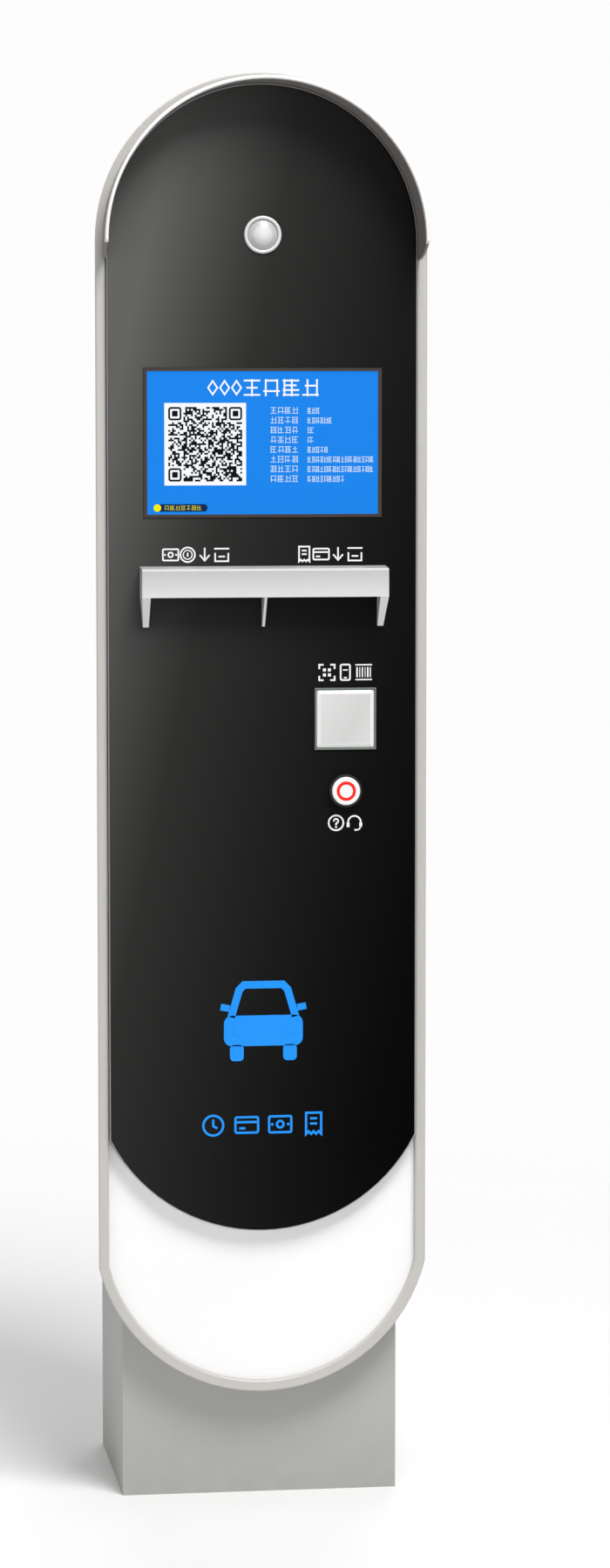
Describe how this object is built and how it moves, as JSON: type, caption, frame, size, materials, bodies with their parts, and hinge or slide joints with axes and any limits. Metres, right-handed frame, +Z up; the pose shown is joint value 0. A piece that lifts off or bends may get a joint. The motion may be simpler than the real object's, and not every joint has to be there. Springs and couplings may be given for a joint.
{
  "type": "parking pay station",
  "caption": "Free-standing pay station: round-topped casing on a box plinth, with display, note inlet, receipt outlet, scanner, help button and rear door.",
  "frame": {"origin": "on the ground, in the middle of the anchor bolt pattern under the plinth", "axes": "+Z up, the front faces -Y, +X to the right of a person who stands in front"},
  "size_m": [0.3746, 0.3555, 1.6172],
  "materials": {
    "casing_paint": "satin powder coat, warm light grey",
    "lower_white": "satin white powder coat",
    "plinth_paint": "satin powder coat, mid grey",
    "visor_paint": "satin dark brown-grey paint",
    "zinc_steel": "zinc-plated sheet steel",
    "fastener_steel": "plated fasteners",
    "carrier_alloy": "satin anodised",
    "canopy_alloy": "fine satin, clear anodised",
    "panel_glass": "black back-printed glass, polished",
    "trim_white": "white extruded edge trim",
    "lens_plastic": "frosted pale lens",
    "ring_plastic": "pale grey moulded ring",
    "black_plastic": "fine-textured black ABS",
    "bezel_brown": "dark bezel",
    "display_glass": "lit liquid-crystal display under clear glass",
    "scanner_frame": "grey-green moulded frame",
    "scanner_glass": "pale diffusing window with a bevelled edge",
    "button_white": "white moulded cap with a red ring",
    "machine_grey": "dark grey machine housing",
    "cash_steel": "black textured lockable box",
    "box_steel": "light grey electronics case",
    "breaker_grey": "light grey breaker case",
    "lever_blue": "dark blue toggle",
    "seal_rubber": "extruded EPDM seal",
    "platen_rubber": "ground rubber roller",
    "paper_white": "thermal paper, wound",
    "lock_chrome": "polished cam lock"
  },
  "bodies": {
    "station": {"plinth": "plinth_paint", "base_plate": "zinc_steel", "plinth_deck": "zinc_steel", "plinth_cover": "plinth_paint", "screws_and_studs": "fastener_steel", "mounting_posts": "zinc_steel", "casing_bolts": "fastener_steel", "casing_top": "casing_paint", "casing_sides": "casing_paint", "casing_bottom": "casing_paint", "rear_frame": "casing_paint", "front_frame": "casing_paint", "lower_front_panel": "lower_white", "floor_tray": "zinc_steel", "cable_gland": "black_plastic", "panel_carrier": "carrier_alloy", "front_glass": "panel_glass", "visor": "visor_paint", "visor_trim": "trim_white", "sensor_bezel": "ring_plastic", "sensor_dome": "lens_plastic", "sensor_module": "black_plastic", "screen_bezel": "bezel_brown", "display_panel": "display_glass", "display_housing": "zinc_steel", "canopy": "canopy_alloy", "note_bezel": "black_plastic", "receipt_bezel": "black_plastic", "bill_validator": "machine_grey", "cash_box_rails": "zinc_steel", "printer_body": "machine_grey", "printer_lid_pin": "fastener_steel", "roll_holder": "machine_grey", "scanner_bezel": "scanner_frame", "scanner_window": "scanner_glass", "scanner_module": "black_plastic", "help_button_body": "black_plastic", "help_button_nut": "black_plastic", "door_seal": "seal_rubber", "frame_hinge_leaves": "zinc_steel", "hinge_pins": "fastener_steel", "equipment_plate": "zinc_steel", "plate_standoffs": "zinc_steel", "controller_box": "box_steel", "power_supply": "zinc_steel", "din_rail": "zinc_steel", "breaker_body": "breaker_grey"},
    "rear_door": {"rear_door": "casing_paint", "door_hinge_leaves": "zinc_steel", "lock_housing": "lock_chrome", "lock_nut": "fastener_steel", "fan_frame": "black_plastic"},
    "lock_cam": {"lock_cam": "zinc_steel"},
    "fan_rotor": {"fan_rotor": "black_plastic"},
    "help_button": {"help_button_cap": "button_white"},
    "cash_box": {"cash_box": "cash_steel"},
    "printer_lid": {"printer_lid": "lever_blue"},
    "platen": {"platen_roller": "platen_rubber"},
    "paper_roll": {"paper_roll": "paper_white"},
    "breaker_lever": {"breaker_lever": "lever_blue"}
  },
  "joints": [
    {"name": "rear_door_hinge", "type": "hinge", "parent": "station", "child": "rear_door", "pos_m": [0.146, 0.13405, 0.88], "axis": [0, 0, -1], "range_deg": [0, 110]},
    {"name": "lock_turn", "type": "hinge", "parent": "rear_door", "child": "lock_cam", "pos_m": [-0.105, 0.1175, 0.88], "axis": [0, 1, 0], "range_deg": [0, 90]},
    {"name": "fan_spin", "type": "hinge", "parent": "rear_door", "child": "fan_rotor", "pos_m": [0, 0.116, 1.4], "axis": [0, 1, 0], "continuous": true},
    {"name": "help_press", "type": "slide", "parent": "station", "child": "help_button", "axis": [0, 1, 0], "range_m": [0, 0.003], "stiffness_N_per_m": 600, "springref_m": -0.002},
    {"name": "cash_box_slide", "type": "slide", "parent": "station", "child": "cash_box", "axis": [0, 1, 0], "range_m": [0, 0.055]},
    {"name": "printer_lid_hinge", "type": "hinge", "parent": "station", "child": "printer_lid", "pos_m": [0.07, -0.073, 1.0995], "axis": [-1, 0, 0], "range_deg": [0, 80]},
    {"name": "platen_turn", "type": "hinge", "parent": "station", "child": "platen", "pos_m": [0.07, -0.112, 1.056], "axis": [1, 0, 0], "continuous": true},
    {"name": "paper_roll_turn", "type": "hinge", "parent": "station", "child": "paper_roll", "pos_m": [0.07, -0.02, 1.045], "axis": [1, 0, 0], "continuous": true},
    {"name": "breaker_switch", "type": "hinge", "parent": "station", "child": "breaker_lever", "pos_m": [-0.042, -0.0355, 0.38], "axis": [-1, 0, 0], "range_deg": [0, 60]}
  ],
  "couplings": [
    {"joint": "platen_turn", "follows": "paper_roll_turn", "ratio": 4.75}
  ]
}
